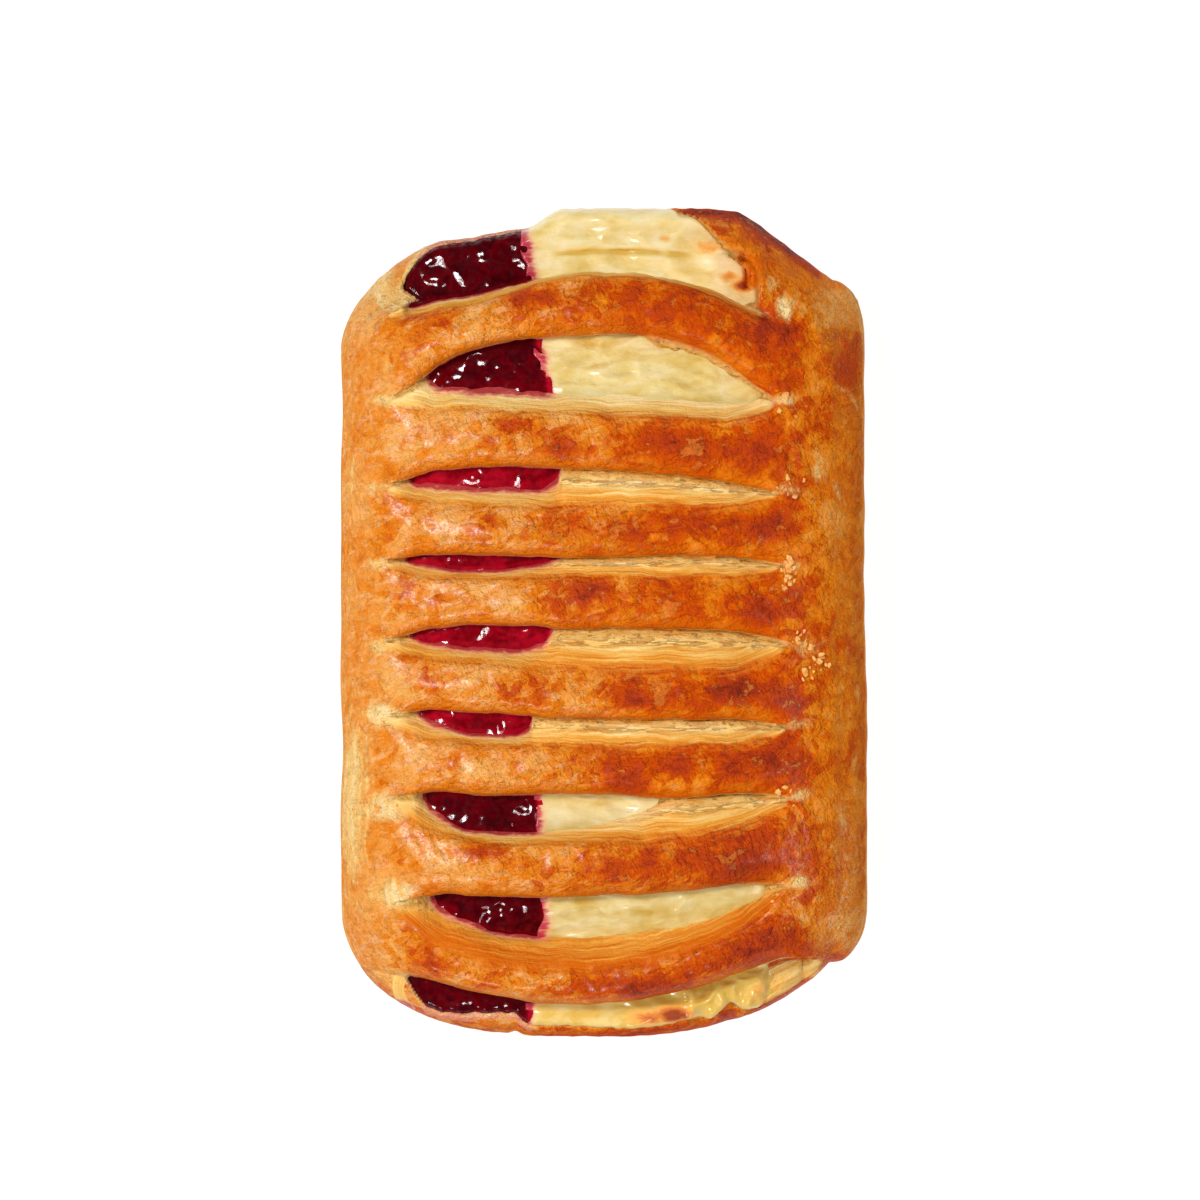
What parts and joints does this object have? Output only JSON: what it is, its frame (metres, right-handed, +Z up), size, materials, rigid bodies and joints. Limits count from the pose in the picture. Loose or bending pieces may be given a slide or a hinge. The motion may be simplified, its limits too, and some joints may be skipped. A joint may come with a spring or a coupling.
{
  "type": "cherry danish",
  "caption": "Rectangular baked danish: a laminated crust cut into strips over a cherry filling and a sweet cheese filling, open at both ends, lying on its flat underside.",
  "frame": {"origin": "on the ground, under the middle of the pastry", "axes": "+Y along the length towards the far open end, +X towards the pressed right border, +Z up"},
  "size_m": [0.0832, 0.13, 0.0302],
  "materials": {
    "crust": "golden brown egg-washed laminated pastry, pale and layered on the cut faces",
    "cherry": "dark red wet cherry filling",
    "cheese": "pale yellow baked sweet cheese"
  },
  "bodies": {
    "root": {"crust": "crust", "cherry_filling": "cherry", "cheese_filling": "cheese"}
  },
  "joints": []
}
